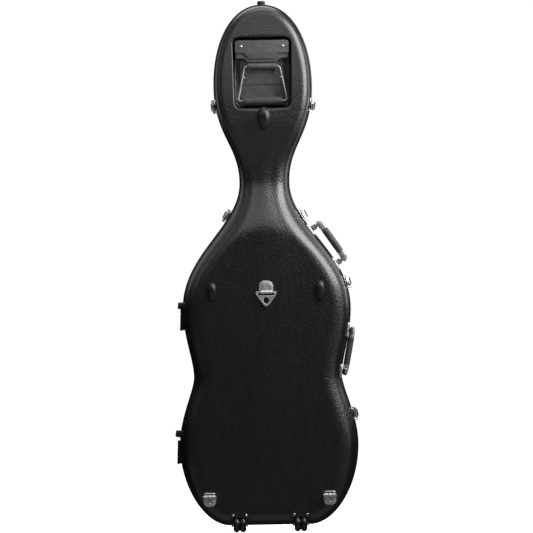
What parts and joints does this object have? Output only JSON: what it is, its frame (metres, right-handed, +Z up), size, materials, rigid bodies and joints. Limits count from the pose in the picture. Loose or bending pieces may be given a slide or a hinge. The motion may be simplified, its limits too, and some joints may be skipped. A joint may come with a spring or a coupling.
{
  "type": "cello hard case",
  "caption": "Upright moulded cello case with a hinged lid, latches, carrying handles, a recessed pull handle, strap rings and two wheels.",
  "frame": {"origin": "on the floor under the middle of the closed case's bounding box", "axes": "+Z up along the case's length, +X to the right of someone facing the back, +Y from the back shell to the lid"},
  "size_m": [0.4857, 0.3389, 1.402],
  "materials": {
    "abs_shell": "fine-grained black ABS with a soft sheen",
    "abs_trim": "smooth black plastic, satin",
    "valance": "black anodised extrusion",
    "bright_steel": "bright nickel-plated steel",
    "bracket": "black painted steel, semi-gloss",
    "foot_rubber": "black moulded rubber",
    "wheel_rubber": "black polyurethane tread",
    "grip": "black moulded grip, satin",
    "plush": "short black plush over thin foam",
    "webbing": "black woven nylon"
  },
  "bodies": {
    "back": {"back_shell": "abs_shell", "back_valance": "valance", "pull_handle_cover": "abs_trim", "pull_handle_base": "abs_trim", "side_foot_upper": "foot_rubber", "side_foot_lower": "foot_rubber", "top_foot": "foot_rubber", "wheel_bracket_left": "bracket", "wheel_axle_left": "bright_steel", "wheel_bracket_right": "bracket", "wheel_axle_right": "bright_steel", "strap_plate_centre": "bright_steel", "strap_plate_left": "bright_steel", "strap_plate_right": "bright_steel", "hinge_upper_back_leaf": "bracket", "hinge_lower_back_leaf": "bracket", "latch_head_left_base": "bright_steel", "latch_head_right_base": "bright_steel", "latch_neck_left_base": "bright_steel", "latch_neck_right_base": "bright_steel", "latch_upper_right_base": "bright_steel", "latch_lower_right_base": "bright_steel", "shoulder_handle_mount": "bracket", "waist_handle_mount": "bracket", "back_lining": "plush", "neck_cradle": "plush", "neck_strap": "webbing"},
    "lid": {"lid_shell": "abs_shell", "lid_valance": "valance", "front_foot": "foot_rubber", "hinge_upper_lid_leaf": "bracket", "hinge_lower_lid_leaf": "bracket", "latch_head_left_keeper": "bright_steel", "latch_head_right_keeper": "bright_steel", "latch_neck_left_keeper": "bright_steel", "latch_neck_right_keeper": "bright_steel", "latch_upper_right_keeper": "bright_steel", "latch_lower_right_keeper": "bright_steel", "lid_lining": "plush", "bow_tip_pocket": "plush", "accessory_pouch": "webbing"},
    "pull_handle": {"pull_handle_bail": "bright_steel", "pull_handle_grip": "grip"},
    "centre_ring": {"strap_ring_centre": "bright_steel"},
    "left_ring": {"strap_ring_left": "bright_steel"},
    "right_ring": {"strap_ring_right": "bright_steel"},
    "left_wheel": {"wheel_left": "wheel_rubber"},
    "right_wheel": {"wheel_right": "wheel_rubber"},
    "shoulder_handle": {"shoulder_handle_bow": "bright_steel", "shoulder_handle_grip": "grip"},
    "waist_handle": {"waist_handle_bow": "bright_steel", "waist_handle_grip": "grip"},
    "latch_head_left_lever": {"latch_head_left_lever": "bright_steel"},
    "latch_head_right_lever": {"latch_head_right_lever": "bright_steel"},
    "latch_neck_left_lever": {"latch_neck_left_lever": "bright_steel"},
    "latch_neck_right_lever": {"latch_neck_right_lever": "bright_steel"},
    "latch_upper_right_lever": {"latch_upper_right_lever": "bright_steel"},
    "latch_lower_right_lever": {"latch_lower_right_lever": "bright_steel"},
    "left_bow_button": {"bow_button_left": "abs_trim"},
    "right_bow_button": {"bow_button_right": "abs_trim"}
  },
  "joints": [
    {"name": "lid_hinge", "type": "hinge", "parent": "back", "child": "lid", "pos_m": [-0.23337, 0.0249, 0.38851], "axis": [0.0388, 0, 0.9992], "range_deg": [0, 110]},
    {"name": "pull_handle_swing", "type": "hinge", "parent": "back", "child": "pull_handle", "pos_m": [0, -0.09695, 1.229], "axis": [-1, 0, 0], "range_deg": [0, 120]},
    {"name": "centre_ring_swing", "type": "hinge", "parent": "back", "child": "centre_ring", "pos_m": [0, -0.1428, 0.632], "axis": [-1, 0, 0], "range_deg": [0, 170]},
    {"name": "left_ring_swing", "type": "hinge", "parent": "back", "child": "left_ring", "pos_m": [-0.1585, -0.14077, 0.095], "axis": [-1, 0, 0], "range_deg": [-104, 64]},
    {"name": "right_ring_swing", "type": "hinge", "parent": "back", "child": "right_ring", "pos_m": [0.1585, -0.14077, 0.095], "axis": [-1, 0, 0], "range_deg": [-104, 64]},
    {"name": "left_wheel_spin", "type": "hinge", "parent": "back", "child": "left_wheel", "pos_m": [-0.0805, -0.1311, 0.02], "axis": [1, 0, 0], "continuous": true},
    {"name": "right_wheel_spin", "type": "hinge", "parent": "back", "child": "right_wheel", "pos_m": [0.0805, -0.1311, 0.02], "axis": [1, 0, 0], "continuous": true},
    {"name": "shoulder_handle_swing", "type": "hinge", "parent": "back", "child": "shoulder_handle", "pos_m": [0.16364, -0.00105, 0.75654], "axis": [0.5685, 0, -0.8227], "range_deg": [-80, 80]},
    {"name": "waist_handle_swing", "type": "hinge", "parent": "back", "child": "waist_handle", "pos_m": [0.21465, -0.00105, 0.47188], "axis": [-0.1842, 0, -0.9829], "range_deg": [0, 168]},
    {"name": "latch_head_left_turn", "type": "hinge", "parent": "back", "child": "latch_head_left_lever", "pos_m": [-0.13118, -0.0146, 1.12366], "axis": [-0.1555, 0, 0.9878], "range_deg": [0, 120]},
    {"name": "latch_head_right_turn", "type": "hinge", "parent": "back", "child": "latch_head_right_lever", "pos_m": [0.13118, -0.0146, 1.12366], "axis": [-0.1555, 0, -0.9878], "range_deg": [0, 120]},
    {"name": "latch_neck_left_turn", "type": "hinge", "parent": "back", "child": "latch_neck_left_lever", "pos_m": [-0.10303, -0.0146, 0.83628], "axis": [0.4978, 0, 0.8673], "range_deg": [0, 120]},
    {"name": "latch_neck_right_turn", "type": "hinge", "parent": "back", "child": "latch_neck_right_lever", "pos_m": [0.10303, -0.0146, 0.83628], "axis": [0.4978, 0, -0.8673], "range_deg": [0, 120]},
    {"name": "latch_upper_right_turn", "type": "hinge", "parent": "back", "child": "latch_upper_right_lever", "pos_m": [0.21689, -0.0146, 0.65759], "axis": [0.3009, 0, -0.9536], "range_deg": [0, 120]},
    {"name": "latch_lower_right_turn", "type": "hinge", "parent": "back", "child": "latch_lower_right_lever", "pos_m": [0.22985, -0.0146, 0.30799], "axis": [0.2315, 0, -0.9728], "range_deg": [0, 120]},
    {"name": "left_bow_button_turn", "type": "hinge", "parent": "lid", "child": "left_bow_button", "pos_m": [-0.095, 0.1329, 0.178], "axis": [0, 1, 0], "range_deg": [-90, 90]},
    {"name": "right_bow_button_turn", "type": "hinge", "parent": "lid", "child": "right_bow_button", "pos_m": [0.095, 0.1329, 0.178], "axis": [0, 1, 0], "range_deg": [-90, 90]}
  ]
}
